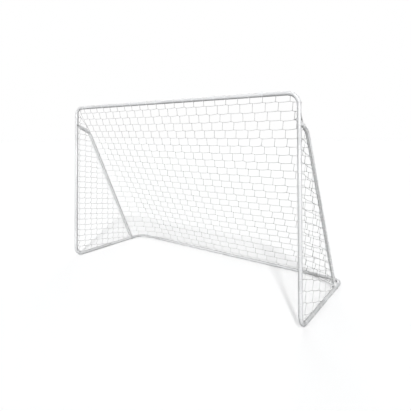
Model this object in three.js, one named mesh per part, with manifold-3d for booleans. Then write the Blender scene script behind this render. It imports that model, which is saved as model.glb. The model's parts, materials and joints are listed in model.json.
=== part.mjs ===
// A free-standing garden soccer goal: a bolted frame of round steel tube with a net.
//
// Frame: millimetres, +Z up, the mouth faces -Y, +X runs along the crossbar.
// Origin: on the ground, under the middle of the goal's width and depth.
import * as THREE from 'three'
import * as BufferGeometryUtils from 'three/addons/utils/BufferGeometryUtils.js'
import Module from 'manifold-3d'

const wasm = await Module()
wasm.setup()

// Overall size over the tubes.
const WIDTH = 2400
const DEPTH = 900
const HEIGHT = 1500

// Tube sections. Radii are to the flats of a faceted ring, and a flat faces down and to each side.
const SIDES = 16
const TUBE_RADIUS = 14
const TUBE_WALL = 1
const CORNER_RADIUS = 80
const CORNER_STEPS = 6
const FIT = 0.5 // clearance of a spigot in its socket
const GAP = 0.3 // air between pieces that touch
const SPIGOT_LENGTH = 60
const SPIGOT_ROOT = 5 // the swaged shoulder that joins a spigot to its tube
const SPIGOT_TIP = [1, 4] // how far a spigot's tip narrows, and over what length

// Centre lines of the frame.
const POST_X = WIDTH / 2 - TUBE_RADIUS
const FRONT_Y = -DEPTH / 2 + TUBE_RADIUS
const BACK_Y = DEPTH / 2 - TUBE_RADIUS
const TOP_Z = HEIGHT - TUBE_RADIUS
const GROUND_Z = TUBE_RADIUS

// Where the tubes are joined.
const CORNER_LEG_X = POST_X - 250
const UPPER_JOINT_Z = 1150
const LOWER_JOINT_Z = 250
const SIDE_JOINT_Y = 0

// Stays: round tube with both ends pressed flat and bolted to the inner side of the frame.
const STAY_RADIUS = 12.5
const STAY_WALL = 1.1
const STAY_BEND_RADIUS = 60
// Places on a stay are y and z.
const STAY_TOP = [FRONT_Y, 1314]
const STAY_BEND = [FRONT_Y + 145.5, 1240]
const STAY_FOOT = [FRONT_Y + 710, GROUND_Z]
const TAB_HALF_THICKNESS = 1.4
const TAB_HALF_WIDTH = 13
const TAB_END = TAB_HALF_WIDTH - 0.8 // from the bolt to the tab's blunt end
const TAB_LENGTH = 27 // from the bolt to where the tube starts to open out
const TAB_FLARE = 45 // length over which it becomes round
const TAB_X = POST_X - TUBE_RADIUS - GAP - TAB_HALF_THICKNESS
const STAY_X = TAB_X - TAB_HALF_THICKNESS + STAY_RADIUS

// Fasteners.
const BOLT_RADIUS = 3
const HOLE_RADIUS = 3.3
const HOLE_REACH = 30 // how far a bolt's hole is cut each way from the tube's centre line
const HEX_RADIUS = 5.8
const HEX_CHAMFER = 0.8
const HEAD_HEIGHT = 4
const NUT_HEIGHT = 5.5
const WASHER_RADIUS = 7
const WASHER_THICKNESS = 1.4
const BOLT_TIP = 3 // thread that stands out past the nut
const SCREW_RADIUS = 2
const SCREW_HOLE_RADIUS = 2.3
const SCREW_HEAD_RADIUS = 4.2
const SCREW_HEAD_HEIGHT = 2.4
const SCREW_LENGTH = 7

// Net panels: thin sheets that stand for the twine mesh.
const NET_THICKNESS = 1.6
const NET_CLEARANCE = 2
const NET_HALF_WIDTH = 1165
const NET_EDGE = 16 // from the crossbar's and back bar's centre lines up or down to the back net
const NET_FOLD_X = 860 // where the back net's folds reach the back bar
const NET_FOLD_GAP = 2 // between the back net's flat middle and its flat ends

const X = new THREE.Vector3(1, 0, 0)
const Y = new THREE.Vector3(0, 1, 0)
const Z = new THREE.Vector3(0, 0, 1)

const goal = new THREE.Group()

// ---- materials ----

const paint = (color) => new THREE.MeshStandardMaterial({ color, roughness: 0.38, metalness: 0.1 })
const zinc = () => new THREE.MeshStandardMaterial({ color: 0x9a9da1, roughness: 0.35, metalness: 0.9 })
const twine = () => new THREE.MeshStandardMaterial({ color: 0xeeeff0, roughness: 0.85, metalness: 0 })

const FRAME_WHITE = 0xe9ebed
const STAY_WHITE = 0xdfe2e5

function addMesh(name, geometry, material) {
  const mesh = new THREE.Mesh(geometry, material)
  mesh.name = name
  goal.add(mesh)
  return mesh
}

// ---- joining and cutting ----

function solidOf(geometry) {
  const bare = geometry.clone()
  bare.deleteAttribute('normal')
  bare.deleteAttribute('uv')
  const merged = BufferGeometryUtils.mergeVertices(bare, 1e-4)
  return new wasm.Manifold(new wasm.Mesh({
    numProp: 3,
    vertProperties: new Float32Array(merged.attributes.position.array),
    triVerts: new Uint32Array(merged.index.array),
  }))
}

function geometryOf(solid) {
  const mesh = solid.getMesh()
  const geometry = new THREE.BufferGeometry()
  geometry.setAttribute('position', new THREE.BufferAttribute(mesh.vertProperties, 3))
  geometry.setIndex(new THREE.BufferAttribute(mesh.triVerts, 1))
  const flat = geometry.toNonIndexed()
  flat.computeVertexNormals()
  return flat
}

const join = (first, ...others) => geometryOf(others.reduce((all, g) => all.add(solidOf(g)), solidOf(first)))
const cut = (body, ...tools) => geometryOf(tools.reduce((all, g) => all.subtract(solidOf(g)), solidOf(body)))

// Turns a geometry made along +Y so that it runs along direction, starting at point.
function aim(geometry, point, direction) {
  geometry.applyQuaternion(new THREE.Quaternion().setFromUnitVectors(Y, direction))
  return geometry.translate(point.x, point.y, point.z)
}

function rod(radius, length, start, direction, sides = 12) {
  const along = new THREE.CylinderGeometry(radius, radius, length, sides).translate(0, length / 2, 0)
  return aim(along, start, direction)
}

// ---- tubes ----

function ring(radius) {
  const corner = radius / Math.cos(Math.PI / SIDES)
  return Array.from({ length: SIDES }, (_, i) => {
    const angle = ((i + 0.5) * 2 * Math.PI) / SIDES
    return new THREE.Vector2(corner * Math.cos(angle), corner * Math.sin(angle))
  })
}

function tubeSection(radius, wall) {
  const section = new THREE.Shape(ring(radius))
  if (wall) section.holes.push(new THREE.Path(ring(radius - wall)))
  return section
}

// A path given by stations: a point, the tangent there and its distance along the path.
class StationPath extends THREE.Curve {
  constructor(stations) {
    super()
    this.stations = stations
  }
  stationAt(u) {
    return this.stations[Math.round(u * (this.stations.length - 1))]
  }
  getPointAt(u) {
    return this.stationAt(u).point.clone()
  }
  getTangentAt(u) {
    return this.stationAt(u).tangent.clone()
  }
}

// Stations along a polyline whose inner corners are rounded, with more at the distances in extra.
function roundedPath(corners, radius, extra = []) {
  const stations = [{ point: corners[0], tangent: corners[1].clone().sub(corners[0]).normalize() }]
  for (let i = 1; i < corners.length - 1; i++) {
    const before = corners[i].clone().sub(corners[i - 1]).normalize()
    const after = corners[i + 1].clone().sub(corners[i]).normalize()
    const turn = before.angleTo(after)
    const axis = before.clone().cross(after).normalize()
    const start = corners[i].clone().addScaledVector(before, -radius * Math.tan(turn / 2))
    const centre = start.clone().addScaledVector(axis.clone().cross(before), radius)
    for (let step = 0; step <= CORNER_STEPS; step++) {
      const angle = (turn * step) / CORNER_STEPS
      stations.push({
        point: start.clone().sub(centre).applyAxisAngle(axis, angle).add(centre),
        tangent: before.clone().applyAxisAngle(axis, angle),
      })
    }
  }
  const last = corners.length - 1
  stations.push({ point: corners[last], tangent: corners[last].clone().sub(corners[last - 1]).normalize() })
  let distance = 0
  stations.forEach((station, i) => {
    distance += i ? station.point.distanceTo(stations[i - 1].point) : 0
    station.distance = distance
  })
  for (const wanted of extra) {
    const at = wanted < 0 ? distance + wanted : wanted
    const next = stations.findIndex((station) => station.distance > at)
    const from = stations[next - 1]
    stations.splice(next, 0, {
      point: from.point.clone().addScaledVector(from.tangent, at - from.distance),
      tangent: from.tangent,
      distance: at,
    })
  }
  return stations
}

function sweep(stations, radius, wall) {
  return new THREE.ExtrudeGeometry(tubeSection(radius, wall), {
    extrudePath: new StationPath(stations),
    steps: stations.length - 1,
  })
}

// A round piece turned about +Y from an outline of [radius, height] points that closes on itself.
function turned(outline) {
  const scale = 1 / Math.cos(Math.PI / SIDES)
  const points = [...outline, outline[0]].map(([r, h]) => new THREE.Vector2(r * scale, h))
  return new THREE.LatheGeometry(points, SIDES, Math.PI / SIDES)
}

// The narrowed end of a tube, made from its shoulder at height 0 up into the next tube's socket.
function spigot() {
  const outer = TUBE_RADIUS - TUBE_WALL - FIT
  const inner = outer - TUBE_WALL
  const root = TUBE_RADIUS - TUBE_WALL / 2
  return turned([
    [inner, -SPIGOT_ROOT],
    [root, -SPIGOT_ROOT],
    [root, -GAP],
    [outer, -GAP],
    [outer, SPIGOT_LENGTH - SPIGOT_TIP[1]],
    [outer - SPIGOT_TIP[0], SPIGOT_LENGTH],
    [inner, SPIGOT_LENGTH],
  ])
}

// A straight tube from start to end, with a spigot at each end that is asked for.
function straightTube(start, end, spigotAtStart, spigotAtEnd) {
  const direction = end.clone().sub(start).normalize()
  const trimmed = [start, end].map((point, i) => point.clone().addScaledVector(direction, i ? -GAP : GAP))
  const parts = [sweep(roundedPath(trimmed, 0), TUBE_RADIUS, TUBE_WALL)]
  if (spigotAtStart) parts.push(aim(spigot(), start, direction.clone().negate()))
  if (spigotAtEnd) parts.push(aim(spigot(), end, direction))
  return join(...parts)
}

function bentTube(start, corner, end, spigotAtEnd) {
  const direction = end.clone().sub(corner).normalize()
  const shoulder = end.clone().addScaledVector(direction, spigotAtEnd ? -GAP : 0)
  const parts = [sweep(roundedPath([start, corner, shoulder], CORNER_RADIUS), TUBE_RADIUS, TUBE_WALL)]
  if (spigotAtEnd) parts.push(aim(spigot(), end, direction))
  return join(...parts)
}

// ---- joint screws ----

const screws = []

const screwPlace = (joint, alongSocket) => joint.clone().addScaledVector(alongSocket, SPIGOT_LENGTH / 2)

function screwHole(joint, alongSocket, normal) {
  const start = screwPlace(joint, alongSocket).addScaledVector(normal, TUBE_RADIUS - SCREW_LENGTH)
  return rod(SCREW_HOLE_RADIUS, 2 * SCREW_LENGTH, start, normal, 8)
}

// A screw through the socket wall into the spigot, on the side of the tube that normal points to.
function planScrew(name, joint, alongSocket, normal) {
  screws.push({ name, middle: screwPlace(joint, alongSocket), normal })
  return screwHole(joint, alongSocket, normal)
}

function addScrews() {
  const head = [
    [SCREW_HEAD_RADIUS, 0],
    [SCREW_HEAD_RADIUS, SCREW_HEAD_HEIGHT * 0.4],
    [SCREW_HEAD_RADIUS * 0.75, SCREW_HEAD_HEIGHT * 0.85],
    [0, SCREW_HEAD_HEIGHT],
  ]
  const outline = [[0, -SCREW_LENGTH], [SCREW_RADIUS, -SCREW_LENGTH], [SCREW_RADIUS, 0], ...head]
  for (const { name, middle, normal } of screws) {
    const points = outline.map(([r, h]) => new THREE.Vector2(r, h))
    const seat = middle.clone().addScaledVector(normal, TUBE_RADIUS + GAP)
    addMesh(name, aim(new THREE.LatheGeometry(points, 10), seat, normal), zinc())
  }
}

// ---- stays ----

// How much a stay is pressed flat at a distance from the bolt: 1 on the tab, 0 where it is round.
const pressed = (fromBolt) => 1 - THREE.MathUtils.smoothstep(fromBolt, TAB_LENGTH, TAB_LENGTH + TAB_FLARE)

// The tab's end is round, so its half width follows a circle beyond the bolt.
function tabHalfWidth(fromBolt) {
  if (fromBolt >= 0) return TAB_HALF_WIDTH
  return Math.sqrt(TAB_HALF_WIDTH ** 2 - fromBolt ** 2)
}

// Presses both ends of a swept stay flat, towards the side of the goal's middle.
function pressEnds(geometry, stations, side) {
  const length = stations.at(-1).distance
  const position = geometry.attributes.position
  const vertex = new THREE.Vector3()
  for (let i = 0; i < position.count; i++) {
    vertex.fromBufferAttribute(position, i)
    const station = stations.find(({ point, tangent }) => {
      const offset = vertex.clone().sub(point)
      return Math.abs(offset.dot(tangent)) < 0.01 && offset.length() < 2 * STAY_RADIUS
    })
    const fromBolt = Math.min(station.distance, length - station.distance) - TAB_END
    const flat = pressed(fromBolt)
    const across = new THREE.Vector3().crossVectors(X, station.tangent)
    const offset = vertex.clone().sub(station.point)
    const wall = offset.length() > STAY_RADIUS - STAY_WALL / 2 ? 0 : STAY_WALL
    const radius = STAY_RADIUS - wall
    const thickness = THREE.MathUtils.lerp(1, (TAB_HALF_THICKNESS - wall) / radius, flat)
    const width = THREE.MathUtils.lerp(1, (tabHalfWidth(fromBolt) - wall) / radius, flat)
    const shift = -side * flat * (STAY_RADIUS - TAB_HALF_THICKNESS)
    vertex.copy(station.point)
    vertex.addScaledVector(X, offset.x * thickness + shift)
    vertex.addScaledVector(across, offset.dot(across) * width)
    position.setXYZ(i, vertex.x, vertex.y, vertex.z)
  }
  geometry.computeVertexNormals()
  return geometry
}

function stayCorners(side, beyond) {
  const places = [STAY_TOP, STAY_BEND, STAY_FOOT]
  const [top, bend, foot] = places.map((place) => new THREE.Vector3(side * STAY_X, ...place))
  top.addScaledVector(top.clone().sub(bend).normalize(), beyond)
  foot.addScaledVector(foot.clone().sub(bend).normalize(), beyond)
  return [top, bend, foot]
}

function stay(side) {
  const roundEnd = [0.3, 0.65, 1].map((share) => share * TAB_END)
  const opening = [0, 0.3, 0.6, 1].map((share) => TAB_END + TAB_LENGTH + share * TAB_FLARE)
  const near = [...roundEnd, ...opening]
  const far = near.map((distance) => -distance)
  const stations = roundedPath(stayCorners(side, TAB_END), STAY_BEND_RADIUS, [...near, ...far])
  const body = pressEnds(sweep(stations, STAY_RADIUS, STAY_WALL), stations, side)
  return cut(body, ...[STAY_TOP, STAY_FOOT].map((place) => boltHole(side, place)))
}

// ---- stay bolts ----

function boltHole(side, [y, z]) {
  const start = new THREE.Vector3(side * (POST_X - HOLE_REACH), y, z)
  return rod(HOLE_RADIUS, 2 * HOLE_REACH, start, X.clone().multiplyScalar(side))
}

function addStayBolt(side, sideName, endName, [y, z]) {
  const inward = X.clone().multiplyScalar(-side)
  const place = (distance) => new THREE.Vector3(side * (POST_X - distance), y, z)
  const headSeat = -TUBE_RADIUS - GAP
  const washerSeat = POST_X - TAB_X + TAB_HALF_THICKNESS + GAP
  const nutSeat = washerSeat + WASHER_THICKNESS + GAP
  const tip = nutSeat + NUT_HEIGHT + BOLT_TIP
  const shankStart = headSeat - HEAD_HEIGHT / 2
  const shank = rod(BOLT_RADIUS, tip - shankStart, place(shankStart), inward)
  const head = new THREE.CylinderGeometry(HEX_RADIUS, HEX_RADIUS - HEX_CHAMFER, HEAD_HEIGHT, 6)
  head.translate(0, HEAD_HEIGHT / 2, 0)
  aim(head, place(headSeat - HEAD_HEIGHT), inward)
  addMesh(`stay_bolt_${endName}_${sideName}`, join(shank, head), zinc())
  const washer = cut(rod(WASHER_RADIUS, WASHER_THICKNESS, place(washerSeat), inward, 16),
    rod(HOLE_RADIUS, 3 * WASHER_THICKNESS, place(washerSeat - WASHER_THICKNESS), inward))
  addMesh(`stay_washer_${endName}_${sideName}`, washer, zinc())
  const nut = cut(rod(HEX_RADIUS, NUT_HEIGHT, place(nutSeat), inward, 6),
    rod(HOLE_RADIUS, 3 * NUT_HEIGHT, place(nutSeat - NUT_HEIGHT), inward))
  addMesh(`stay_nut_${endName}_${sideName}`, nut, zinc())
}

// ---- net ----

// A thin flat plate whose middle plane has these corners, in order round it.
function plate(corners) {
  const across = corners[1].clone().sub(corners[0]).normalize()
  const out = new THREE.Plane().setFromCoplanarPoints(...corners.slice(0, 3)).normal
  const basis = new THREE.Matrix4().makeBasis(across, out.clone().cross(across), out).setPosition(corners[0])
  const flat = basis.clone().invert()
  const outline = corners.map((corner) => corner.clone().applyMatrix4(flat))
  const shape = new THREE.Shape(outline.map(({ x, y }) => new THREE.Vector2(x, y)))
  const panel = new THREE.ExtrudeGeometry(shape, { depth: NET_THICKNESS, bevelEnabled: false })
  return panel.translate(0, 0, -NET_THICKNESS / 2).applyMatrix4(basis)
}

// The back net is flat from the crossbar to the back bar. Below the stays' bends it folds near each end
// and is drawn forward to the stay. Its flat middle and its two flat ends are separate plates.
function addBackNet() {
  const slopeAt = (x, z) => {
    return new THREE.Vector3(x, BACK_Y - ((BACK_Y - FRONT_Y) * (z - GROUND_Z)) / (TOP_Z - GROUND_Z), z)
  }
  const [foldZ, topZ, footZ] = [STAY_BEND[1], TOP_Z - NET_EDGE, GROUND_Z + NET_EDGE]
  const rightEdge = [
    slopeAt(NET_FOLD_X, footZ),
    slopeAt(NET_HALF_WIDTH, foldZ),
    slopeAt(NET_HALF_WIDTH, topZ),
  ]
  const leftEdge = rightEdge.map(({ x, z }) => slopeAt(-x, z)).reverse()
  const topCorners = [-1, 1].map((side) => {
    const bend = [[0, TOP_Z], [side * POST_X, TOP_Z], [side * POST_X, UPPER_JOINT_Z]]
    const path = roundedPath(bend.map(([x, z]) => new THREE.Vector3(x, FRONT_Y, z)), CORNER_RADIUS)
    return sweep(path, TUBE_RADIUS + NET_CLEARANCE)
  })
  addMesh('net_back', cut(plate([...rightEdge, ...leftEdge]), ...topCorners), twine())
  for (const [sideName, side] of Object.entries({ left: -1, right: 1 })) {
    addMesh(`net_back_end_${sideName}`, plate([
      slopeAt(side * (NET_HALF_WIDTH + NET_FOLD_GAP), foldZ - NET_FOLD_GAP),
      new THREE.Vector3(side * (NET_HALF_WIDTH + NET_FOLD_GAP), STAY_FOOT[0], footZ),
      slopeAt(side * (NET_FOLD_X + NET_FOLD_GAP), footZ),
    ]), twine())
  }
}

// The side net hangs in the plane of the posts: one panel below the stay's arm and one above it.
function addNets(side, sideName) {
  const at = (y, z) => new THREE.Vector3(side * POST_X, y, z)
  const postTop = at(FRONT_Y, TOP_Z - CORNER_RADIUS)
  const postAndGround = roundedPath([postTop, at(FRONT_Y, GROUND_Z), at(BACK_Y, GROUND_Z)], CORNER_RADIUS)
  const stayTube = roundedPath(stayCorners(side, 0), STAY_BEND_RADIUS)
  const around = [
    sweep(postAndGround, TUBE_RADIUS + NET_CLEARANCE),
    sweep(stayTube, STAY_RADIUS + 2 * NET_CLEARANCE),
  ]
  const footCorners = [at(...STAY_TOP), at(FRONT_Y, GROUND_Z), at(...STAY_FOOT)]
  const underStay = [...roundedPath(footCorners, CORNER_RADIUS).map(({ point }) => point), at(...STAY_BEND)]
  addMesh(`net_side_${sideName}`, cut(plate(underStay), ...around), twine())
  const overStay = [at(...STAY_TOP), postTop, at(...STAY_BEND)]
  addMesh(`net_side_top_${sideName}`, cut(plate(overStay), ...around), twine())
}

// ---- assembly ----

const TOP_MIDDLE = new THREE.Vector3(0, FRONT_Y, TOP_Z)
const BACK_MIDDLE = new THREE.Vector3(0, BACK_Y, GROUND_Z)
const BACK_AND_UP = new THREE.Vector3(0, 1, 1).normalize()

function addSide(side, sideName) {
  const at = (x, y, z) => new THREE.Vector3(side * x, y, z)
  const outward = X.clone().multiplyScalar(side)
  const down = Z.clone().negate()
  const forward = Y.clone().negate()
  const backAndInward = new THREE.Vector3(-side, 1, 0).normalize()
  const upAndInward = new THREE.Vector3(-side, 0, 1).normalize()

  const crossbarEnd = at(CORNER_LEG_X, FRONT_Y, TOP_Z)
  const postTop = at(POST_X, FRONT_Y, UPPER_JOINT_Z)
  const postFoot = at(POST_X, FRONT_Y, LOWER_JOINT_Z)
  const sideJoint = at(POST_X, SIDE_JOINT_Y, GROUND_Z)
  const backBarEnd = at(CORNER_LEG_X, BACK_Y, GROUND_Z)

  const crossbarScrew = planScrew(`screw_crossbar_${sideName}`, crossbarEnd, outward, BACK_AND_UP)
  const postTopScrew = planScrew(`screw_post_top_${sideName}`, postTop, Z, backAndInward)
  const postFootScrew = planScrew(`screw_post_foot_${sideName}`, postFoot, down, backAndInward)
  const sideScrew = planScrew(`screw_ground_side_${sideName}`, sideJoint, forward, upAndInward)
  const backScrew = planScrew(`screw_back_bar_${sideName}`, backBarEnd, outward, BACK_AND_UP)
  const middleScrews = [TOP_MIDDLE, BACK_MIDDLE].map((joint) => screwHole(joint, X, BACK_AND_UP))

  const hasMiddleSpigot = side < 0
  const crossbar = straightTube(TOP_MIDDLE, crossbarEnd, hasMiddleSpigot, true)
  addMesh(`crossbar_${sideName}`, cut(crossbar, crossbarScrew, middleScrews[0]), paint(FRAME_WHITE))

  const corner = bentTube(crossbarEnd, at(POST_X, FRONT_Y, TOP_Z), postTop, false)
  const cornerHoles = [crossbarScrew, postTopScrew, boltHole(side, STAY_TOP)]
  addMesh(`top_corner_${sideName}`, cut(corner, ...cornerHoles), paint(FRAME_WHITE))

  const post = straightTube(postTop, postFoot, true, true)
  addMesh(`post_${sideName}`, cut(post, postTopScrew, postFootScrew), paint(FRAME_WHITE))

  const foot = bentTube(postFoot, at(POST_X, FRONT_Y, GROUND_Z), sideJoint, false)
  addMesh(`foot_tube_${sideName}`, cut(foot, postFootScrew, sideScrew), paint(FRAME_WHITE))

  const backCorner = bentTube(backBarEnd, at(POST_X, BACK_Y, GROUND_Z), sideJoint, true)
  const backCornerHoles = [backScrew, sideScrew, boltHole(side, STAY_FOOT)]
  addMesh(`back_corner_${sideName}`, cut(backCorner, ...backCornerHoles), paint(FRAME_WHITE))

  const backBar = straightTube(BACK_MIDDLE, backBarEnd, hasMiddleSpigot, true)
  addMesh(`back_bar_${sideName}`, cut(backBar, backScrew, middleScrews[1]), paint(FRAME_WHITE))

  addMesh(`stay_${sideName}`, stay(side), paint(STAY_WHITE))
  addStayBolt(side, sideName, 'top', STAY_TOP)
  addStayBolt(side, sideName, 'foot', STAY_FOOT)
  addNets(side, sideName)
}

// The left half of each bar reaches into the right half, which has the socket.
planScrew('screw_crossbar_middle', TOP_MIDDLE, X, BACK_AND_UP)
planScrew('screw_back_bar_middle', BACK_MIDDLE, X, BACK_AND_UP)
addSide(-1, 'left')
addSide(1, 'right')
addScrews()
addBackNet()

export default goal
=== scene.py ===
"""A garden soccer goal: powder-coated steel tubes, zinc-plated fasteners and a knotless twine net."""

import json
import math

import bmesh
import bpy
import numpy as np
from mathutils import Matrix, Vector


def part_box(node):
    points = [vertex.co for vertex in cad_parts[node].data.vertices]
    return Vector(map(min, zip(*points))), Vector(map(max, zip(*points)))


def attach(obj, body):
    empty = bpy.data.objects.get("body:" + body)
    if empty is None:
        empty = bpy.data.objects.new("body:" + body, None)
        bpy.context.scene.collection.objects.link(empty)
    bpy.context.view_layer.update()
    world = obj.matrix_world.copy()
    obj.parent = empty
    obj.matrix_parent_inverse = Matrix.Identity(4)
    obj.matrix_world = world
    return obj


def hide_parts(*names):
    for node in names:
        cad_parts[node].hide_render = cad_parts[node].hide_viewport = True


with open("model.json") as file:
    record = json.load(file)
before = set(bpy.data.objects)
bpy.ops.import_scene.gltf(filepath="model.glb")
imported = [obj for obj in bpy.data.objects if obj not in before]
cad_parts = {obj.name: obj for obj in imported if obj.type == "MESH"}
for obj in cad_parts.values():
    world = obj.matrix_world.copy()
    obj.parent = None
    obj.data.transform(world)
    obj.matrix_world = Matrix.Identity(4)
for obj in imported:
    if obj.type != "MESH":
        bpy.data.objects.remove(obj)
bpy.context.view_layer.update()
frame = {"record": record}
rng = np.random.default_rng(7)

# ---- places, in metres, from the frame ----


def middle(node):
    low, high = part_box(node)
    return (low + high) / 2


def half_size(node):
    low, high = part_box(node)
    return (high - low) / 2


TUBE_RADIUS = half_size("crossbar_left").z
POST_X = middle("post_right").x
FRONT_Y = middle("post_right").y
TOP_Z = middle("crossbar_right").z
BACK_Y = middle("back_bar_right").y
GROUND_Z = middle("back_bar_right").z
CORNER_LEG_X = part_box("top_corner_right")[0].x
UPPER_JOINT_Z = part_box("top_corner_right")[0].z
LOWER_JOINT_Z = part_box("foot_tube_right")[1].z
SIDE_JOINT_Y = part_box("foot_tube_right")[1].y
STAY_X = middle("stay_right").x
STAY_RADIUS = half_size("stay_right").x
STAY_TOP = (middle("stay_bolt_top_right").y, middle("stay_bolt_top_right").z)
STAY_FOOT = (middle("stay_bolt_foot_right").y, middle("stay_bolt_foot_right").z)
STAY_BEND = (STAY_TOP[0] + 0.1455, STAY_TOP[1] - 0.074)
SIDES = {"left": -1, "right": 1}

# ---- sizes of what the frame doesn't say ----

CORNER_RADIUS = 0.080
STAY_BEND_RADIUS = 0.060
TUBE_WALL = 0.001
GAP = 0.0003
SPIGOT_LENGTH = 0.060
SPIGOT_RADIUS = TUBE_RADIUS - TUBE_WALL - 0.0005
AROUND = 56  # points round a tube
ARC_STEP = math.radians(3.5)

TWINE_RADIUS = 0.0016
HEM_RADIUS = 0.0018
TWINE_SIDES = 6

# ---- node materials ----


class Shader:
    """A material's node tree, built up from short calls."""

    def __init__(self, name):
        self.material = bpy.data.materials.new(name)
        self.material.use_nodes = True
        self.nodes = self.material.node_tree.nodes
        self.links = self.material.node_tree.links
        self.surface = self.nodes["Principled BSDF"]

    def add(self, kind, inputs=None, **settings):
        node = self.nodes.new(kind)
        for key, value in settings.items():
            setattr(node, key, value)
        for key, value in (inputs or {}).items():
            if isinstance(value, bpy.types.NodeSocket):
                self.links.new(value, node.inputs[key])
            else:
                node.inputs[key].default_value = value
        return node

    def set(self, **inputs):
        for key, value in inputs.items():
            socket = self.surface.inputs[key.replace("_", " ")]
            if isinstance(value, bpy.types.NodeSocket):
                self.links.new(value, socket)
            else:
                socket.default_value = value

    def place(self):
        return self.add("ShaderNodeTexCoord").outputs["Object"]

    def noise(self, scale, detail=3.0, roughness=0.5, vector=None):
        vector = vector or self.place()
        settings = {"Vector": vector, "Scale": scale, "Detail": detail, "Roughness": roughness}
        return self.add("ShaderNodeTexNoise", settings).outputs["Fac"]

    def span(self, value, low, high, to_low=0.0, to_high=1.0):
        """value from low..high, clamped, onto to_low..to_high."""
        settings = {"Value": value, "From Min": low, "From Max": high, "To Min": to_low, "To Max": to_high}
        return self.add("ShaderNodeMapRange", settings, clamp=True).outputs["Result"]

    def math(self, operation, a, b=0.0):
        return self.add("ShaderNodeMath", {0: a, 1: b}, operation=operation).outputs[0]

    def mix(self, factor, a, b):
        node = self.add("ShaderNodeMix", data_type="RGBA")
        for socket, value in ((node.inputs[0], factor), (node.inputs[6], a), (node.inputs[7], b)):
            if isinstance(value, bpy.types.NodeSocket):
                self.links.new(value, socket)
            else:
                socket.default_value = value
        return node.outputs[2]

    def bump(self, height, distance, strength=1.0, normal=None):
        settings = {"Height": height, "Distance": distance, "Strength": strength}
        if normal:
            settings["Normal"] = normal
        return self.add("ShaderNodeBump", settings).outputs["Normal"]


def grey(value, warm=0.0):
    return (value * (1 + warm), value, value * (1 - warm), 1.0)


def powder_coat(name, value):
    """Powder coat: orange peel, faint mottling, and scuffs and splash marks towards the ground."""
    shader = Shader(name)
    height = shader.add("ShaderNodeSeparateXYZ", {0: shader.place()}).outputs["Z"]
    mottle = shader.noise(9.0, 4.0)
    colour = shader.mix(mottle, grey(value * 0.965, -0.012), grey(value, -0.006))
    near_ground = shader.span(height, 0.0, 0.35, 1.0, 0.15)
    scratches = shader.noise(170.0, 6.0, 0.7)
    scuffs = shader.math("MULTIPLY", shader.span(scratches, 0.62, 0.72), near_ground)
    colour = shader.mix(shader.math("MULTIPLY", scuffs, 0.35), colour, grey(value * 0.55, 0.03))
    low_down = shader.span(height, 0.0, 0.05, 1.0, 0.0)
    splash = shader.math("MULTIPLY", low_down, shader.span(mottle, 0.35, 0.65))
    colour = shader.mix(shader.math("MULTIPLY", splash, 0.20), colour, grey(value * 0.70, 0.06))
    peel = shader.bump(shader.noise(420.0, 2.0), 0.0006, 0.10)
    waviness = shader.bump(shader.noise(35.0, 1.0), 0.002, 0.05, peel)
    shader.set(Base_Color=colour, Normal=waviness, Metallic=0.0, Coat_Weight=0.25, Coat_Roughness=0.12)
    shader.set(Roughness=shader.span(shader.noise(60.0), 0.3, 0.7, 0.30, 0.42))
    return shader.material


def zinc_plate():
    """Bright zinc plate: fine grain, a cool to warm passivation tint and dull patches."""
    shader = Shader("zinc_plate")
    tint = shader.noise(320.0, 3.0)
    colour = shader.mix(tint, (0.62, 0.63, 0.66, 1.0), (0.72, 0.70, 0.64, 1.0))
    dull = shader.span(shader.noise(900.0, 5.0), 0.45, 0.75)
    colour = shader.mix(shader.math("MULTIPLY", dull, 0.4), colour, (0.42, 0.42, 0.43, 1.0))
    shader.set(Base_Color=colour, Metallic=1.0)
    shader.set(Roughness=shader.span(dull, 0.0, 1.0, 0.24, 0.50))
    shader.set(Normal=shader.bump(shader.noise(2600.0, 2.0), 0.0001, 0.25))
    return shader.material


BRAID_PITCH = 0.0032
# The strands' greys are painted shade: the twine itself is near white, like the loops.
TWINE_WARM = (0.52, 0.52, 0.51, 1.0)
TWINE_COOL = (0.59, 0.595, 0.60, 1.0)
TWINE_SHADE = (0.34, 0.34, 0.34, 1.0)  # between the yarns
LOOP_WHITE = grey(0.85)  # twine lies against white tube in the loops, so it needs no contrast there


def net_twine():
    """Braided twine with fuzz and slight soiling, kept grey so that it shows on a white floor: the grey of
    the free strands is painted shade on a near-white twine.
    """
    shader = Shader("net_twine")
    along = shader.add("ShaderNodeAttribute", attribute_name="along").outputs["Fac"]
    around = shader.add("ShaderNodeAttribute", attribute_name="around").outputs["Fac"]
    turns = shader.math("MULTIPLY", along, 2 * math.pi / BRAID_PITCH)
    angle = shader.math("MULTIPLY", around, 2 * math.pi)
    left = shader.math("SINE", shader.math("ADD", turns, angle))
    right = shader.math("SINE", shader.math("SUBTRACT", turns, angle))
    braid = shader.span(shader.math("MULTIPLY", left, right), -1.0, 1.0)
    fuzz = shader.noise(5200.0, 3.0)
    soil = shader.noise(11.0, 4.0)
    clean = shader.mix(soil, TWINE_WARM, TWINE_COOL)
    pale = shader.add("ShaderNodeAttribute", attribute_name="pale").outputs["Fac"]
    clean = shader.mix(pale, clean, LOOP_WHITE)
    colour = shader.mix(shader.span(braid, 0.0, 0.55, 0.30, 0.0), clean, TWINE_SHADE)
    height = shader.math("ADD", braid, shader.math("MULTIPLY", fuzz, 0.3))
    shader.set(Base_Color=colour, Roughness=shader.span(fuzz, 0.3, 0.7, 0.70, 0.85))
    shader.set(Normal=shader.bump(height, 0.0004, 0.8), Sheen_Weight=0.3, Sheen_Roughness=0.5)
    shader.set(Specular_IOR_Level=0.3)
    return shader.material


MATERIALS = {
    "frame_paint": powder_coat("frame_paint", 0.83),
    # The stays are the same white as the frame; their darker paint is painted shade, for the shaded look of
    # the thin stays.
    "stay_paint": powder_coat("stay_paint", 0.76),
    "zinc_plate": zinc_plate(),
    "net_twine": net_twine(),
}

# ---- mesh helpers ----


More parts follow.
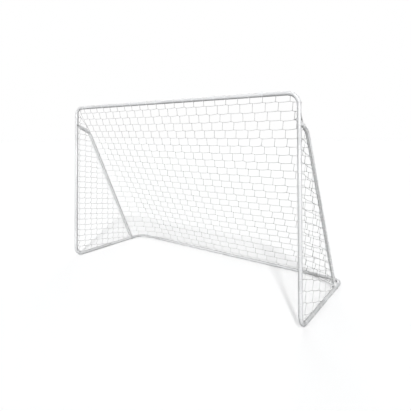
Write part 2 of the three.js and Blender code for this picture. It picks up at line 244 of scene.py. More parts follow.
class Skin:
    """Points and faces of one piece, gathered from rings and strands."""

    def __init__(self):
        self.points = []
        self.faces = []
        self.along = []
        self.around = []
        self.pale = []
        self.count = 0

    def loft(self, rings, closed=False, capped=True, along=None, pale=0.0):
        """Joins rings of equal count. closed joins the last to the first, and capped fills both ends."""
        size = len(rings[0])
        number = len(rings)
        first = self.count
        self.points.append(np.concatenate(rings))
        self.count += size * number
        lengths = np.zeros(number) if along is None else np.asarray(along)
        self.along.append(np.repeat(lengths, size))
        self.around.append(np.tile(np.arange(size) / size, number))
        self.pale.append(np.full(size * number, pale))
        step = np.arange(size)
        after = (step + 1) % size
        spans = number if closed else number - 1
        for ring in range(spans):
            a = first + ring * size
            b = first + ((ring + 1) % number) * size
            self.faces.extend(np.stack([a + step, a + after, b + after, b + step], 1).tolist())
        if capped and not closed:
            self.faces.append((first + step[::-1]).tolist())
            self.faces.append((first + (number - 1) * size + step).tolist())

    def piece(self, name, slot, nodes, sharp=35.0):
        """The finished object, which rides on the frame and stands for the CAD nodes."""
        mesh = bpy.data.meshes.new(name)
        mesh.from_pydata(np.concatenate(self.points).tolist(), [], self.faces)
        for key, values in (("along", self.along), ("around", self.around), ("pale", self.pale)):
            attribute = mesh.attributes.new(key, "FLOAT", "POINT")
            attribute.data.foreach_set("value", np.concatenate(values).astype(np.float32))
        edit = bmesh.new()
        edit.from_mesh(mesh)
        bmesh.ops.recalc_face_normals(edit, faces=edit.faces)
        edit.to_mesh(mesh)
        edit.free()
        mesh.shade_smooth()
        mesh.set_sharp_from_angle(angle=math.radians(sharp))
        mesh.materials.append(MATERIALS[slot])
        made = bpy.data.objects.new(name, mesh)
        bpy.context.scene.collection.objects.link(made)
        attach(made, "root")
        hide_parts(*nodes)
        return made


class Path:
    """A centre line of straight runs and arcs. It runs straight on past its ends."""

    def __init__(self, corners, radius=0.0):
        corners = [np.array(corner, float) for corner in corners]
        self.parts = []
        self.length = 0.0
        start = corners[0]
        normal = np.zeros(3)
        for before, corner, after in zip(corners, corners[1:], corners[2:]):
            incoming = (corner - before) / np.linalg.norm(corner - before)
            outgoing = (after - corner) / np.linalg.norm(after - corner)
            turn = math.acos(float(incoming @ outgoing))
            normal = np.cross(incoming, outgoing) / math.sin(turn)
            trim = radius * math.tan(turn / 2)
            self._add_line(start, corner - incoming * trim)
            centre = corner - incoming * trim + np.cross(normal, incoming) * radius
            inward = np.cross(normal, incoming)
            self.parts.append((self.length, "arc", centre, incoming, inward, radius, turn))
            self.length += radius * turn
            start = corner + outgoing * trim
        self._add_line(start, corners[-1])
        direction = self.parts[0][3]
        flat = np.array([1.0, 0.0, 0.0]) if abs(direction[0]) < 0.5 else np.array([0.0, 0.0, 1.0])
        self.normal = normal if normal.any() else flat

    def _add_line(self, start, end):
        length = float(np.linalg.norm(end - start))
        self.parts.append((self.length, "line", start, (end - start) / length))
        self.length += length

    def at(self, distance):
        """Place and direction at a distance along the path."""
        part = [p for p in self.parts if p[0] <= distance + 1e-9 or p is self.parts[0]][-1]
        run = distance - part[0]
        if part[1] == "line":
            return part[2] + part[3] * run, part[3]
        _, _, centre, incoming, inward, radius, _ = part
        angle = run / radius
        place = centre - inward * radius * math.cos(angle) + incoming * radius * math.sin(angle)
        return place, incoming * math.cos(angle) + inward * math.sin(angle)

    def stations(self, start, end):
        """Distances from start to end: both, and a row of them round each arc."""
        found = [start]
        for part in self.parts:
            if part[1] == "arc":
                steps = max(2, round(part[6] / ARC_STEP))
                found += [part[0] + part[5] * part[6] * i / steps for i in range(steps + 1)]
        return [d for d in found if start <= d < end] + [end]

    def ring(self, distance, radius, count=AROUND):
        place, direction = self.at(distance)
        across = np.cross(direction, self.normal)
        angles = np.arange(count) * 2 * math.pi / count
        circle = np.outer(np.cos(angles), self.normal) + np.outer(np.sin(angles), across)
        return place + radius * circle

    def nearest(self, point, step=0.002):
        """Distance along the path of the place nearest to a point."""
        distances = np.arange(0.0, self.length, step)
        places = np.array([self.at(d)[0] for d in distances])
        return float(distances[np.argmin(np.linalg.norm(places - point, axis=1))])


# ---- tubes ----

LIP = 0.0005  # rounding of a socket's mouth and of a spigot's shoulder
NECK_START = 0.004  # where the bore starts to narrow, from the joint
NECK_END = 0.001
TIP_LENGTH = 0.003  # a spigot's tapered lead
TIP_DROP = 0.0006


def add_tube(name, path, start_spigot=False, end_spigot=False):
    """A hollow tube along a path, with a narrowed spigot past each end that is asked for."""
    rounding = [(LIP * (1 - math.cos(a)), LIP * (1 - math.sin(a))) for a in np.linspace(0, math.pi / 2, 4)]

    def mouth(at, inwards):
        """Profile from the bore out to the tube's surface at an open end."""
        bore = TUBE_RADIUS - TUBE_WALL
        return [(at, bore)] + [(at + inwards * along, TUBE_RADIUS - drop) for along, drop in rounding]

    def spigot(at, inwards):
        """Profile from the bore round the spigot's tip and over its shoulder to the tube's surface."""
        tip = at - inwards * SPIGOT_LENGTH
        bore = SPIGOT_RADIUS - TUBE_WALL
        inside = [(at + inwards * NECK_START, TUBE_RADIUS - TUBE_WALL)]
        inside += [(at + inwards * NECK_END, bore), (tip, bore)]
        outside = [(tip, SPIGOT_RADIUS - TIP_DROP)]
        outside += [(tip + inwards * TIP_LENGTH, SPIGOT_RADIUS), (at, SPIGOT_RADIUS)]
        return inside + outside + [(at + inwards * along, TUBE_RADIUS - drop) for along, drop in rounding]

    first = (spigot if start_spigot else mouth)(GAP / 2, 1)
    last = (spigot if end_spigot else mouth)(path.length - GAP / 2, -1)
    between = path.stations(first[-1][0], last[-1][0])[1:-1]
    profile = first + [(d, TUBE_RADIUS) for d in between] + last[::-1]
    profile += [(d, TUBE_RADIUS - TUBE_WALL) for d in between[::-1]]
    skin = Skin()
    skin.loft([path.ring(distance, radius) for distance, radius in profile], closed=True)
    return skin.piece(name, "frame_paint", [name])


def add_frame_tubes(side, name):
    top = Path([(0, FRONT_Y, TOP_Z), (side * CORNER_LEG_X, FRONT_Y, TOP_Z)])
    corner = [(side * CORNER_LEG_X, FRONT_Y, TOP_Z), (side * POST_X, FRONT_Y, TOP_Z)]
    corner = Path(corner + [(side * POST_X, FRONT_Y, UPPER_JOINT_Z)], CORNER_RADIUS)
    post = Path([(side * POST_X, FRONT_Y, UPPER_JOINT_Z), (side * POST_X, FRONT_Y, LOWER_JOINT_Z)])
    foot = [(side * POST_X, FRONT_Y, LOWER_JOINT_Z), (side * POST_X, FRONT_Y, GROUND_Z)]
    foot = Path(foot + [(side * POST_X, SIDE_JOINT_Y, GROUND_Z)], CORNER_RADIUS)
    back = [(side * POST_X, SIDE_JOINT_Y, GROUND_Z), (side * POST_X, BACK_Y, GROUND_Z)]
    back = Path(back + [(side * CORNER_LEG_X, BACK_Y, GROUND_Z)], CORNER_RADIUS)
    bar = Path([(0, BACK_Y, GROUND_Z), (side * CORNER_LEG_X, BACK_Y, GROUND_Z)])
    add_tube(f"crossbar_{name}", top, side < 0, True)
    add_tube(f"top_corner_{name}", corner)
    add_tube(f"post_{name}", post, True, True)
    add_tube(f"foot_tube_{name}", foot)
    add_tube(f"back_corner_{name}", back, True, False)
    add_tube(f"back_bar_{name}", bar, side < 0, True)


# ---- stays ----

TAB_HALF_THICKNESS = 0.0014
TAB_HALF_WIDTH = 0.013
TAB_LENGTH = 0.027
TAB_FLARE = 0.045


def stay_path(side):
    return Path([(side * STAY_X, *place) for place in (STAY_TOP, STAY_BEND, STAY_FOOT)], STAY_BEND_RADIUS)


def smoothstep(value, low, high):
    share = min(max((value - low) / (high - low), 0.0), 1.0)
    return share * share * (3 - 2 * share)


def stay_ring(path, distance, side):
    """A section of the stay: round, and pressed into a flat tab with a round end at each bolt."""
    from_bolt = min(distance, path.length - distance)
    flat = 1 - smoothstep(from_bolt, TAB_LENGTH, TAB_LENGTH + TAB_FLARE)
    beyond = min(from_bolt, 0.0)
    tab_width = math.sqrt(max(TAB_HALF_WIDTH**2 - beyond**2, 1e-8))
    thickness = STAY_RADIUS + (TAB_HALF_THICKNESS - STAY_RADIUS) * flat
    width = STAY_RADIUS + (tab_width - STAY_RADIUS) * flat
    place, direction = path.at(distance)
    across = np.cross(direction, (1.0, 0.0, 0.0))
    angles = np.arange(AROUND) * 2 * math.pi / AROUND
    power = 2 / (2 + 4 * flat)
    cosine = np.sign(np.cos(angles)) * np.abs(np.cos(angles)) ** power
    sine = np.sign(np.sin(angles)) * np.abs(np.sin(angles)) ** power
    shift = -side * flat * (STAY_RADIUS - TAB_HALF_THICKNESS)
    ring = place + np.outer(cosine * thickness + shift, (1.0, 0.0, 0.0))
    return ring + np.outer(sine * width, across)


def add_stay(side, name):
    path = stay_path(side)
    round_end = [-TAB_HALF_WIDTH * math.cos(a) for a in np.linspace(0.12, math.pi / 2, 9)]
    opening = list(np.linspace(0.004, TAB_LENGTH + TAB_FLARE, 26))
    near = round_end + opening
    far = [path.length - d for d in near[::-1]]
    body = path.stations(near[-1], far[0])[1:-1]
    skin = Skin()
    skin.loft([stay_ring(path, d, side) for d in near + body + far])
    return skin.piece(f"stay_{name}", "stay_paint", [f"stay_{name}"], sharp=50.0)


# ---- fasteners ----

HEX_RADIUS = 0.0058
BOLT_RADIUS = 0.003
THREAD_PITCH = 0.001
THREAD_DEPTH = 0.00035
SCREW_HEAD_RADIUS = 0.0042
FASTENER_AROUND = 48
RING_ANGLES = np.arange(FASTENER_AROUND) * 2 * math.pi / FASTENER_AROUND
SCREW_RADIUS = 0.002
SCREW_CROWN = 0.0014
SCREW_HEAD_HEIGHT = 0.0023
RECESS_HALF_WIDTH = 0.00045
RECESS_RADIUS = 0.0024
RECESS_DEPTH = 0.0014
WASHER_EDGE = 0.00025
THREAD_RUNOUT = 0.0006


def hexagon(angles):
    """Radius of a hexagon at each angle."""
    sixth = math.pi / 3
    return HEX_RADIUS * math.cos(sixth / 2) / np.cos((angles % sixth) - sixth / 2)


def turned(profile, place, direction):
    """Rings about direction from (height, radius) pairs, where a radius may be an array round the ring."""
    direction = np.array(direction, float) / np.linalg.norm(direction)
    across = np.cross(direction, (0.0, 0.0, 1.0) if abs(direction[2]) < 0.9 else (1.0, 0.0, 0.0))
    across = across / np.linalg.norm(across)
    over = np.cross(direction, across)
    circle = np.outer(np.cos(RING_ANGLES), across) + np.outer(np.sin(RING_ANGLES), over)
    rings = []
    for height, radius in profile:
        heights = np.broadcast_to(height, FASTENER_AROUND)
        radii = np.broadcast_to(radius, FASTENER_AROUND)
        rings.append(np.array(place) + np.outer(heights, direction) + radii[:, None] * circle)
    return rings


def chamfered_hex(bottom, top, chamfer_bottom):
    """Profile of a hexagon whose corners are turned off at the top, and at the bottom too if asked for."""
    flat = HEX_RADIUS * math.cos(math.pi / 6)
    cuts = [(0.0, flat * 0.96), (0.0006, flat * 1.08), (0.0012, HEX_RADIUS)]
    if not chamfer_bottom:
        cuts = [(0.0, flat * 1.08), (0.0003, HEX_RADIUS)]
    rising = [(bottom + up, np.minimum(hexagon(RING_ANGLES), limit)) for up, limit in cuts]
    top_cuts = [(0.0012, HEX_RADIUS), (0.0006, flat * 1.08), (0.0, flat * 0.96)]
    return rising + [(top - down, np.minimum(hexagon(RING_ANGLES), limit)) for down, limit in top_cuts]


def threaded(start, end):
    """Profile of a screw thread between two heights."""
    heights = np.arange(start, end, THREAD_PITCH / 7)
    profile = []
    for height in heights:
        phase = (height / THREAD_PITCH - RING_ANGLES / (2 * math.pi)) % 1.0
        runout = min(1.0, (end - height) / THREAD_PITCH)
        depth = THREAD_DEPTH * (1 - 2 * np.abs(phase - 0.5)) + THREAD_RUNOUT * (1 - runout)
        profile.append((height, BOLT_RADIUS - depth))
    return profile


def add_stay_fasteners(side, name, end, place):
    """The bolt along X from the outside of the post or ground tube, its washer and its nut."""
    inward = (-side, 0.0, 0.0)
    y, z = place

    def seat(node):
        """Distance inwards from the tube's axis of a node's outer face, and its thickness."""
        low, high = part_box(node)
        outer = max(abs(low.x), abs(high.x))
        return POST_X - outer, high.x - low.x

    axis = (side * POST_X, y, z)
    bolt = f"stay_bolt_{end}_{name}"
    head_top, length = seat(bolt)
    head_seat = -TUBE_RADIUS - GAP
    tip = head_top + length
    nut = f"stay_nut_{end}_{name}"
    nut_seat, nut_height = seat(nut)
    head = [(-top, radius) for top, radius in chamfered_hex(-head_seat, -head_top, False)][::-1]
    skin = Skin()
    crown = [(head_top, 0.0035), (head_top, 0.0045)]
    shank = [(head_seat, BOLT_RADIUS + 0.0002), (head_seat + 0.0002, BOLT_RADIUS)]
    skin.loft(turned(crown + head + shank + threaded(nut_seat - 0.004, tip), axis, inward))
    skin.piece(bolt, "zinc_plate", [bolt], sharp=28.0)

    skin = Skin()
    outside = chamfered_hex(nut_seat, nut_seat + nut_height, True)
    hole = BOLT_RADIUS + 0.0001
    inside = [(nut_seat + nut_height, hole + 0.0004), (nut_seat + nut_height - 0.0004, hole)]
    inside += [(nut_seat + 0.0004, hole), (nut_seat, hole + 0.0004)]
    skin.loft(turned(outside + inside, axis, inward), closed=True)
    skin.piece(nut, "zinc_plate", [nut], sharp=28.0)

    washer = f"stay_washer_{end}_{name}"
    washer_seat, thickness = seat(washer)
    radius = half_size(washer).z
    profile = [(washer_seat, BOLT_RADIUS + 0.0003), (washer_seat, radius - WASHER_EDGE)]
    profile += [(washer_seat + WASHER_EDGE, radius), (washer_seat + thickness - WASHER_EDGE, radius)]
    profile += [(washer_seat + thickness, radius - WASHER_EDGE)]
    profile += [(washer_seat + thickness, BOLT_RADIUS + 0.0003)]
    skin = Skin()
    skin.loft(turned(profile, axis, inward), closed=True)
    skin.piece(washer, "zinc_plate", [washer])


def add_screw(name, joint, normal):
    """A pan head screw with a cross recess, through a joint's socket into its spigot."""
    normal = np.array(normal, float) / np.linalg.norm(normal)
    seat = np.array(joint) + normal * (TUBE_RADIUS + GAP)
    across = np.minimum(np.abs(np.cos(RING_ANGLES)), np.abs(np.sin(RING_ANGLES)))
    profile = [(-0.007, 0.0006), (-0.0064, 0.0018), (-0.006, SCREW_RADIUS), (0.0, SCREW_RADIUS)]
    profile += [(0.0, SCREW_HEAD_RADIUS - 0.0002), (0.0002, SCREW_HEAD_RADIUS)]
    profile += [(0.0009 + SCREW_CROWN * math.sin(a), SCREW_HEAD_RADIUS * (0.62 + 0.38 * math.cos(a)))
                for a in np.linspace(0.0, math.pi / 2, 6)]
    for radius in np.linspace(0.0025, 0.0003, 9):
        in_cross = (across * radius < RECESS_HALF_WIDTH) & (radius < RECESS_RADIUS)
        depth = np.where(in_cross, RECESS_DEPTH * (1 - radius / 0.0040), 0.0)
        profile.append((SCREW_HEAD_HEIGHT - depth, radius))
    skin = Skin()
    skin.loft(turned(profile, seat, normal))
    skin.piece(name, "zinc_plate", [name], sharp=28.0)


def add_joint_screws():
    half = SPIGOT_LENGTH / 2
    add_screw("screw_crossbar_middle", (half, FRONT_Y, TOP_Z), (0, 1, 1))
    add_screw("screw_back_bar_middle", (half, BACK_Y, GROUND_Z), (0, 1, 1))
    for name, side in SIDES.items():
        leg = side * (CORNER_LEG_X + half)
        post = side * POST_X
        add_screw(f"screw_crossbar_{name}", (leg, FRONT_Y, TOP_Z), (0, 1, 1))
        add_screw(f"screw_back_bar_{name}", (leg, BACK_Y, GROUND_Z), (0, 1, 1))
        add_screw(f"screw_post_top_{name}", (post, FRONT_Y, UPPER_JOINT_Z + half), (-side, 1, 0))
        add_screw(f"screw_post_foot_{name}", (post, FRONT_Y, LOWER_JOINT_Z - half), (-side, 1, 0))
        add_screw(f"screw_ground_side_{name}", (post, SIDE_JOINT_Y - half, GROUND_Z), (-side, 0, 1))


# ---- net ----


class Region:
    """A convex outline in a panel's own (across, down) plane. Each side has a name."""

    def __init__(self, corners, names):
        self.corners = np.array(corners, float)
        self.names = names
        following = np.roll(self.corners, -1, axis=0)
        along = following - self.corners
        inward = np.stack([-along[:, 1], along[:, 0]], 1)
        centre = self.corners.mean(axis=0)
        flip = np.sign(((centre - self.corners) * inward).sum(axis=1))
        self.inward = inward * (flip / np.linalg.norm(inward, axis=1))[:, None]
        self.level = (self.corners * self.inward).sum(axis=1)

    def clip(self, a, b):
        """The ends of a segment's inside part, and the name of the side that cuts each, or None."""
        low, high, low_side, high_side = 0.0, 1.0, None, None
        for inward, level, name in zip(self.inward, self.level, self.names):
            da = float(a @ inward - level)
            db = float(b @ inward - level)
            if da < 0 and db < 0:
                return None
            if da < 0 <= db:
                share = da / (da - db)
                if share > low:
                    low, low_side = share, name
            elif db < 0 <= da:
                share = da / (da - db)
                if share < high:
                    high, high_side = share, name
        if high - low < 1e-3:
            return None
        return a + (b - a) * low, a + (b - a) * high, low_side, high_side


class Mesh:
    """Staggered knotless netting: rows that step down at each joint, and legs between the rows."""

    def __init__(self, pitch, jog, start, fall=0.0, wander=0.0025):
        self.pitch = np.array(pitch)
        self.jog = np.array(jog)
        self.start = np.array(start)
        self.fall = fall
        self.wander = wander
        self.shifts = {}

    def joint(self, column, row, lower):
        """The place of a row's joint: where a leg from above meets it, or the lower one it leaves from."""
        key = (column, row, lower)
        if key not in self.shifts:
            self.shifts[key] = rng.normal(0.0, self.wander, 2)
        across = self.start[0] + column * self.pitch[0]
        down = self.start[1] + row * self.pitch[1]
        place = np.array([across, down]) + (self.jog if lower else 0.0) + self.shifts[key]
        place[1] += self.fall * place[0]
        return place


PARTS = frame["record"]["subparts"]
FASTENERS = [np.array(middle(part["node"])) for part in PARTS if part["material_slot"] == "zinc_plate"]
LOOP_CLEARANCE = 0.013  # along a tube, between a loop and the middle of a fastener
LOOP_SPACING = 0.016
LOOP_AROUND = 20
LOOP_LEAN = 0.12


def free_for_loop(path, distance, radius):
    """Whether a loop round a tube there misses every fastener and the stays' flat ends."""
    if radius == STAY_RADIUS and min(distance, path.length - distance) < TAB_LENGTH + TAB_FLARE / 2:
        return False
    centre, direction = path.at(distance)
    offsets = [place - centre for place in FASTENERS]
    return not any(np.linalg.norm(offset) < 3 * TUBE_RADIUS and abs(offset @ direction) < LOOP_CLEARANCE
                   for offset in offsets)


class Net(Skin):
    """A net panel: strands on a surface, laced to tubes at its outline."""

    def __init__(self, place, region, tubes):
        super().__init__()
        self.place = place
        self.region = region
        self.tubes = tubes
        self.laced = []

    def strand(self, points, radius=TWINE_RADIUS, closed=False, sides=TWINE_SIDES, pale=0.0):
        """A round strand through points, which are rows of x, y and z."""
        points = np.asarray(points, float)
        if closed:
            directions = np.roll(points, -1, axis=0) - np.roll(points, 1, axis=0)
        else:
            directions = np.gradient(points, axis=0)
        directions /= np.linalg.norm(directions, axis=1)[:, None]
        lengths = np.concatenate([[0.0], np.cumsum(np.linalg.norm(np.diff(points, axis=0), axis=1))])
        across = np.cross(directions[0], (0.31, 0.17, 0.94))
        angles = np.arange(sides) * 2 * math.pi / sides
        radii = np.broadcast_to(radius, len(points))
        rings = []
        for point, direction, size in zip(points, directions, radii):
            across = across - direction * float(across @ direction)
            across = across / np.linalg.norm(across)
            over = np.cross(direction, across)
            rings.append(point + size * (np.outer(np.cos(angles), across) + np.outer(np.sin(angles), over)))
        self.loft(rings, closed=closed, along=lengths, pale=pale)

    def bead(self, point, direction, pale=0.0):
        """The thicker spot where yarns interlace at a joint."""
        direction = direction / np.linalg.norm(direction)
        shape = [(-2.6, 0.5), (-1.4, 1.35), (0.0, 1.65), (1.4, 1.35), (2.6, 0.5)]
        places = [point + direction * along * TWINE_RADIUS for along, _ in shape]
        self.strand(places, radius=[size * TWINE_RADIUS for _, size in shape], pale=pale)

    def on_surface(self, a, b, steps, slack=0.0):
        """Points in space from a to b in the panel's plane, hanging a little where there is slack."""
        shares = np.linspace(0.0, 1.0, steps + 1)
        flat = a + np.outer(shares, b - a)
        flat[:, 1] += slack * 4 * shares * (1 - shares)
        return np.array([self.place(u, v) for u, v in flat])

    def lace(self, at, side_name):
        """A loop of the edge mesh round the tube on that side of the panel."""
        path, radius = self.tubes.get(side_name, (None, 0.0))
        if path is None:
            return
        point = self.place(*at)
        distance = path.nearest(point)
        if any(near is path and abs(distance - other) < LOOP_SPACING for near, other in self.laced):
            return
        if not free_for_loop(path, distance, radius):
            return
        self.laced.append((path, distance))
        centre, direction = path.at(distance)
        out = point - centre
        out = out - direction * float(out @ direction)
        out = out / np.linalg.norm(out)
        over = np.cross(direction, out)
        lean = rng.normal(0.0, LOOP_LEAN)
        angles = np.arange(LOOP_AROUND) * 2 * math.pi / LOOP_AROUND
        size = radius + TWINE_RADIUS
        circle = size * (np.outer(np.cos(angles), out) + np.outer(np.sin(angles), over))
        circle += np.outer(np.sin(angles) * lean * size, direction)
        loop = centre + circle
        loop[:, 2] = np.maximum(loop[:, 2], TWINE_RADIUS)
        self.strand(loop, closed=True, pale=1.0)
        self.bead(centre + out * size, direction, pale=1.0)

    def weave(self, mesh, columns, rows):
        for row in rows:
            self.weave_row(mesh, columns, row)
            for column in columns:
                self.weave_leg(mesh, column, row)

    def weave_row(self, mesh, columns, row):
        run = []
        for column in columns:
            upper, lower = mesh.joint(column, row, False), mesh.joint(column, row, True)
            following = mesh.joint(column + 1, row, False)
            for a, b, steps, slack in ((upper, lower, 2, 0.0), (lower, following, 4, 0.002)):
                kept = self.region.clip(a, b)
                if kept is None:
                    continue
                start, end, start_side, end_side = kept
                points = self.on_surface(start, end, steps, slack)
                run.extend(points[1:] if run else points)
                for at, side_name in ((start, start_side), (end, end_side)):
                    if side_name:
                        self.lace(at, side_name)
                if not start_side:
                    self.bead(points[0], points[1] - points[0])
        if len(run) > 2:
            self.strand(run)

    def weave_leg(self, mesh, column, row):
        kept = self.region.clip(mesh.joint(column, row, True), mesh.joint(column, row + 1, False))
        if kept is None:
            return
        start, end, start_side, end_side = kept
        self.strand(self.on_surface(start, end, 4))
        for at, side_name in ((start, start_side), (end, end_side)):
            if side_name:
                self.lace(at, side_name)

    def selvedge(self, radius=HEM_RADIUS, step=0.02):
        """A stouter strand round the whole outline."""
        points = []
        for a, b in zip(self.region.corners, np.roll(self.region.corners, -1, axis=0)):
            steps = max(1, int(np.linalg.norm(b - a) / step))
            points.extend(self.on_surface(a, b, steps)[:-1])
        self.strand(points, radius=radius, closed=True, sides=8)


SLOPE_RUN = BACK_Y - FRONT_Y
SLOPE_RISE = TOP_Z - GROUND_Z
SLOPE_LENGTH = math.hypot(SLOPE_RUN, SLOPE_RISE)
BACK_HALF_WIDTH = STAY_X - STAY_RADIUS - HEM_RADIUS
FOLD_X = 0.860  # where the back net leaves the back bar to be drawn forward to the stays
EDGE = TUBE_RADIUS + HEM_RADIUS
SAG = 0.012
BEND_DOWN = (TOP_Z - STAY_BEND[1]) * SLOPE_LENGTH / SLOPE_RISE  # the stay's bend, down the back net


def back_place(across, down):
    """A point of the back net: across along X, down the slope from the crossbar's centre line."""
    z = TOP_Z - down * SLOPE_RISE / SLOPE_LENGTH
    y = FRONT_Y + down * SLOPE_RUN / SLOPE_LENGTH
    below_bend = max(0.0, (STAY_BEND[1] - z) / (STAY_BEND[1] - GROUND_Z))
    fold_width = 0.02 + (POST_X - FOLD_X) * below_bend
    near = 1 - (POST_X - abs(across)) / fold_width
    drawn = (near + math.sqrt(near * near + 0.01)) / 2
    y -= below_bend * (BACK_Y - STAY_FOOT[0]) * min(drawn, 1.0)
    share = min(max(down / SLOPE_LENGTH, 0.0), 1.0)
    sag = SAG * math.sin(math.pi * share) * (1 - (across / POST_X) ** 2)
    return np.array([across, y - sag * SLOPE_RISE / SLOPE_LENGTH, z - sag * SLOPE_RUN / SLOPE_LENGTH])


class BackNet(Net):
    """The back net is laced to a stay only below the stay's bend, and to the bar only between the folds."""

    def lace(self, at, side_name):
        if side_name.startswith("stay") and at[1] < BEND_DOWN:
            return
        if side_name == "bar" and abs(at[0]) > FOLD_X + 0.02:
            return
        super().lace(at, side_name)


def add_back_net():
    top = EDGE
    bottom = SLOPE_LENGTH - EDGE
    corner_start = POST_X - CORNER_RADIUS
    corner_end = CORNER_RADIUS * SLOPE_LENGTH / SLOPE_RISE
    wide = BACK_HALF_WIDTH - corner_start
    deep = corner_end - top
    arc = [(corner_start + wide * math.sin(a), top + deep * (1 - math.cos(a)))
           for a in np.linspace(0.0, math.pi / 2, 5)]
    right = arc + [(BACK_HALF_WIDTH, bottom)]
    left = [(-across, down) for across, down in right[::-1]]
    names = ["corner_right"] * 4 + ["stay_right", "bar", "stay_left"] + ["corner_left"] * 4 + ["crossbar"]
    tubes = {
        "crossbar": (Path([(-POST_X, FRONT_Y, TOP_Z), (POST_X, FRONT_Y, TOP_Z)]), TUBE_RADIUS),
        "bar": (Path([(-FOLD_X, BACK_Y, GROUND_Z), (FOLD_X, BACK_Y, GROUND_Z)]), TUBE_RADIUS),
        "stay_left": (stay_path(-1), STAY_RADIUS),
        "stay_right": (stay_path(1), STAY_RADIUS),
    }
    net = BackNet(back_place, Region(right + left, names), tubes)
    mesh = Mesh((0.100, 0.070), (0.022, 0.005), (-1.19, 0.058), wander=0.0016)
    net.weave(mesh, range(-1, 26), range(-1, 25))
    net.selvedge()
    net.piece("net_back", "net_twine", ["net_back", "net_back_end_left", "net_back_end_right"])


SIDE_BULGE = 0.006
SIDE_DEPTH = 0.7  # the side panel's length at the ground, for its bulge
# The right side's mesh is the larger, and its rows fall more steeply.
SIDE_MESHES = {
    "left": Mesh((0.070, 0.054), (0.014, 0.004), (0.028, -0.02), fall=0.176, wander=0.0014),
    "right": Mesh((0.130, 0.074), (0.026, 0.005), (-0.06, -0.02), fall=0.36, wander=0.002),
}


def add_side_nets(side, name):
    """The panel between post, ground tube and stay, and the small one above the stay's arm."""
    def side_place(back, down):
        """A point of the side net: back from the post's centre line, down from the crossbar's."""
        out = SIDE_BULGE * math.sin(math.pi * min(max(down / TOP_Z, 0.0), 1.0))
        out *= math.sin(math.pi * min(back / SIDE_DEPTH, 1.0))
        return np.array([side * (POST_X + out), FRONT_Y + back, TOP_Z - down])

    def gore_place(back, down):
        """The upper panel leans in to meet the back net's edge."""
        edge = down * SLOPE_RUN / SLOPE_RISE
        lean = (POST_X - BACK_HALF_WIDTH) * min(back / max(edge, 0.02), 1.0)
        return np.array([side * (POST_X - lean), FRONT_Y + back, TOP_Z - down])

    def flat(place):
        return np.array([place[0] - FRONT_Y, TOP_Z - place[1]])

    def offset(a, b, distance):
        """The line a to b moved to its right, as seen with down pointing down."""
        along = (b - a) / np.linalg.norm(b - a)
        return np.array([-along[1], along[0]]) * distance

    arm = offset(flat(STAY_TOP), flat(STAY_BEND), STAY_RADIUS + HEM_RADIUS)
    leg = offset(flat(STAY_BEND), flat(STAY_FOOT), STAY_RADIUS + HEM_RADIUS)
    top, bend, foot = flat(STAY_TOP), flat(STAY_BEND), flat(STAY_FOOT)
    ground = TOP_Z - GROUND_Z - EDGE

    def crossing(a, along_a, b, along_b):
        shares = np.linalg.solve(np.stack([along_a, -along_b], 1), b - a)
        return a + along_a * shares[0]

    post_line = (np.array([EDGE, 0.0]), np.array([0.0, 1.0]))
    ground_line = (np.array([0.0, ground]), np.array([1.0, 0.0]))
    arm_line = (top + arm, bend - top)
    leg_line = (bend + leg, foot - bend)
    inner = CORNER_RADIUS - EDGE
    foot_arc = [(EDGE + inner * (1 - math.sin(a)), ground - inner * (1 - math.cos(a)))
                for a in np.linspace(0.0, math.pi / 2, 5)]
    corners = [crossing(*post_line, *arm_line), crossing(*arm_line, *leg_line)]
    corners += [crossing(*leg_line, *ground_line), *foot_arc]
    region = Region(corners, ["arm", "stay", "ground"] + ["foot"] * 4 + ["post"])
    feet = [(FRONT_Y, TOP_Z), (FRONT_Y, GROUND_Z), (BACK_Y, GROUND_Z)]
    feet = Path([(side * POST_X, y, z) for y, z in feet], CORNER_RADIUS)
    stay = stay_path(side)
    tubes = {"arm": (stay, STAY_RADIUS), "stay": (stay, STAY_RADIUS), "post": (feet, TUBE_RADIUS),
             "foot": (feet, TUBE_RADIUS), "ground": (feet, TUBE_RADIUS)}
    mesh = SIDE_MESHES[name]
    net = Net(side_place, region, tubes)
    net.weave(mesh, range(-1, 12), range(-3, 28))
    net.selvedge()
    net.piece(f"net_side_{name}", "net_twine", [f"net_side_{name}"])

    above_arm = (top - arm, bend - top)
    seam_line = (np.array([0.0, 0.0]), np.array([SLOPE_RUN, SLOPE_RISE]))
    low = crossing(*post_line, *above_arm)
    back = crossing(*seam_line, *above_arm)
    high = np.array([EDGE, CORNER_RADIUS * 0.75])
    gore_region = Region([low, high, back], ["post", "seam", "arm"])
    gore = Net(gore_place, gore_region, {"post": tubes["post"], "arm": tubes["arm"]})
    gore.weave(mesh, range(-1, 6), range(-3, 8))
    gore.selvedge()
    gore.piece(f"net_side_top_{name}", "net_twine", [f"net_side_top_{name}"])


# ---- the goal ----

for side_name, side_sign in SIDES.items():
    add_frame_tubes(side_sign, side_name)
    add_stay(side_sign, side_name)
    add_stay_fasteners(side_sign, side_name, "top", STAY_TOP)
    add_stay_fasteners(side_sign, side_name, "foot", STAY_FOOT)
    add_side_nets(side_sign, side_name)
add_joint_screws()
add_back_net()

# ---- studio ----

FLOOR_WHITE = 0.88
FLOOR_BOUNCE = 0.25  # what the floor throws back on the goal, as a pale floor under a small light box does
FLOOR_GLOW = 0.375
SKY_LOW = 0.05
SKY_HIGH = 0.3
KEY_DIRECTION = (-1.0, 1.41, -1.486)
KEY_STRENGTH = 1.35
KEY_ANGLE = math.radians(4.0)
FILL_DIRECTION = (-0.55, 0.83, 0.0)
FILL_STRENGTH = 3.8
FILL_ANGLE = math.radians(30.0)
BACK_DIRECTION = (0.55, -0.83, -0.35)
BACK_STRENGTH = 1.4
BACK_ANGLE = math.radians(40.0)

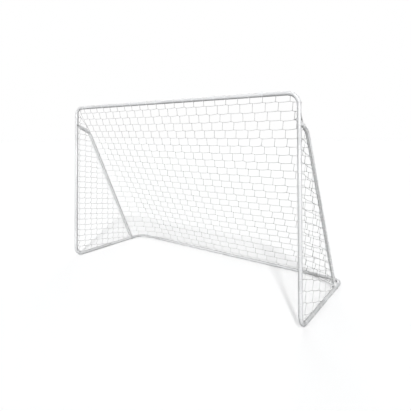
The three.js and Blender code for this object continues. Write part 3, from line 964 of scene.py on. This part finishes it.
CAMERA_PLACE = (2.0451, -2.5367, 1.2258)
CAMERA_FORWARD = (-0.56829, 0.82260, 0.01939)
CAMERA_RIGHT = (0.82273, 0.56843, -0.00247)
CAMERA_LENS = 30.93
CAMERA_SHIFT = (-0.0394, -0.1915)


def add_floor():
    skin = Skin()
    rings = []
    for radius in (0.0, 6.0, 60.0):
        angles = np.arange(64) * 2 * math.pi / 64
        rings.append(np.stack([radius * np.cos(angles), radius * np.sin(angles), np.zeros(64)], 1))
    skin.loft(rings, capped=False)
    mesh = bpy.data.meshes.new("floor")
    mesh.from_pydata(np.concatenate(skin.points).tolist(), [], skin.faces)
    shader = Shader("floor")
    seen = shader.add("ShaderNodeLightPath").outputs["Is Camera Ray"]
    shader.set(Base_Color=shader.mix(seen, grey(FLOOR_BOUNCE), grey(FLOOR_WHITE)), Roughness=0.9)
    glow = shader.math("MULTIPLY", seen, FLOOR_GLOW)
    shader.set(Emission_Color=(1.0, 1.0, 1.0, 1.0), Emission_Strength=glow)
    shader.set(Specular_IOR_Level=0.0)
    mesh.materials.append(shader.material)
    floor = bpy.data.objects.new("floor", mesh)
    bpy.context.scene.collection.objects.link(floor)


def add_sky():
    """White to the camera. As a light it is brighter overhead than at the horizon."""
    world = bpy.data.worlds.new("studio")
    bpy.context.scene.world = world
    world.use_nodes = True
    nodes, links = world.node_tree.nodes, world.node_tree.links
    nodes.clear()
    direction = nodes.new("ShaderNodeTexCoord")
    split = nodes.new("ShaderNodeSeparateXYZ")
    ramp = nodes.new("ShaderNodeMapRange")
    ramp.inputs["From Min"].default_value = -0.1
    ramp.inputs["From Max"].default_value = 0.9
    ramp.inputs["To Min"].default_value = SKY_LOW
    ramp.inputs["To Max"].default_value = SKY_HIGH
    fill = nodes.new("ShaderNodeBackground")
    seen = nodes.new("ShaderNodeBackground")
    rays = nodes.new("ShaderNodeLightPath")
    mix = nodes.new("ShaderNodeMixShader")
    out = nodes.new("ShaderNodeOutputWorld")
    links.new(direction.outputs["Generated"], split.inputs[0])
    links.new(split.outputs["Z"], ramp.inputs["Value"])
    links.new(ramp.outputs["Result"], fill.inputs["Strength"])
    links.new(rays.outputs["Is Camera Ray"], mix.inputs[0])
    links.new(fill.outputs[0], mix.inputs[1])
    links.new(seen.outputs[0], mix.inputs[2])
    links.new(mix.outputs[0], out.inputs["Surface"])
    fill.inputs["Color"].default_value = (0.97, 0.985, 1.0, 1.0)
    seen.inputs["Color"].default_value = (1.0, 1.0, 1.0, 1.0)


def add_sun(name, direction, strength, angle):
    light = bpy.data.lights.new(name, "SUN")
    light.energy = strength
    light.angle = angle
    sun = bpy.data.objects.new(name, light)
    sun.rotation_mode = "QUATERNION"
    sun.rotation_quaternion = Vector(direction).to_track_quat("-Z", "Y")
    bpy.context.scene.collection.objects.link(sun)


def add_camera():
    camera = bpy.data.objects.new("camera", bpy.data.cameras.new("camera"))
    right, forward = Vector(CAMERA_RIGHT), Vector(CAMERA_FORWARD)
    up = right.cross(forward)
    axes = Matrix((right, up, -forward)).transposed().to_4x4()
    camera.matrix_world = Matrix.Translation(CAMERA_PLACE) @ axes
    camera.data.lens = CAMERA_LENS
    camera.data.sensor_width = 36.0
    camera.data.shift_x, camera.data.shift_y = CAMERA_SHIFT
    bpy.context.scene.collection.objects.link(camera)
    bpy.context.scene.camera = camera


add_floor()
add_sky()
add_sun("key", KEY_DIRECTION, KEY_STRENGTH, KEY_ANGLE)
add_sun("fill", FILL_DIRECTION, FILL_STRENGTH, FILL_ANGLE)
add_sun("back", BACK_DIRECTION, BACK_STRENGTH, BACK_ANGLE)
add_camera()
bpy.context.scene.view_settings.view_transform = "Standard"
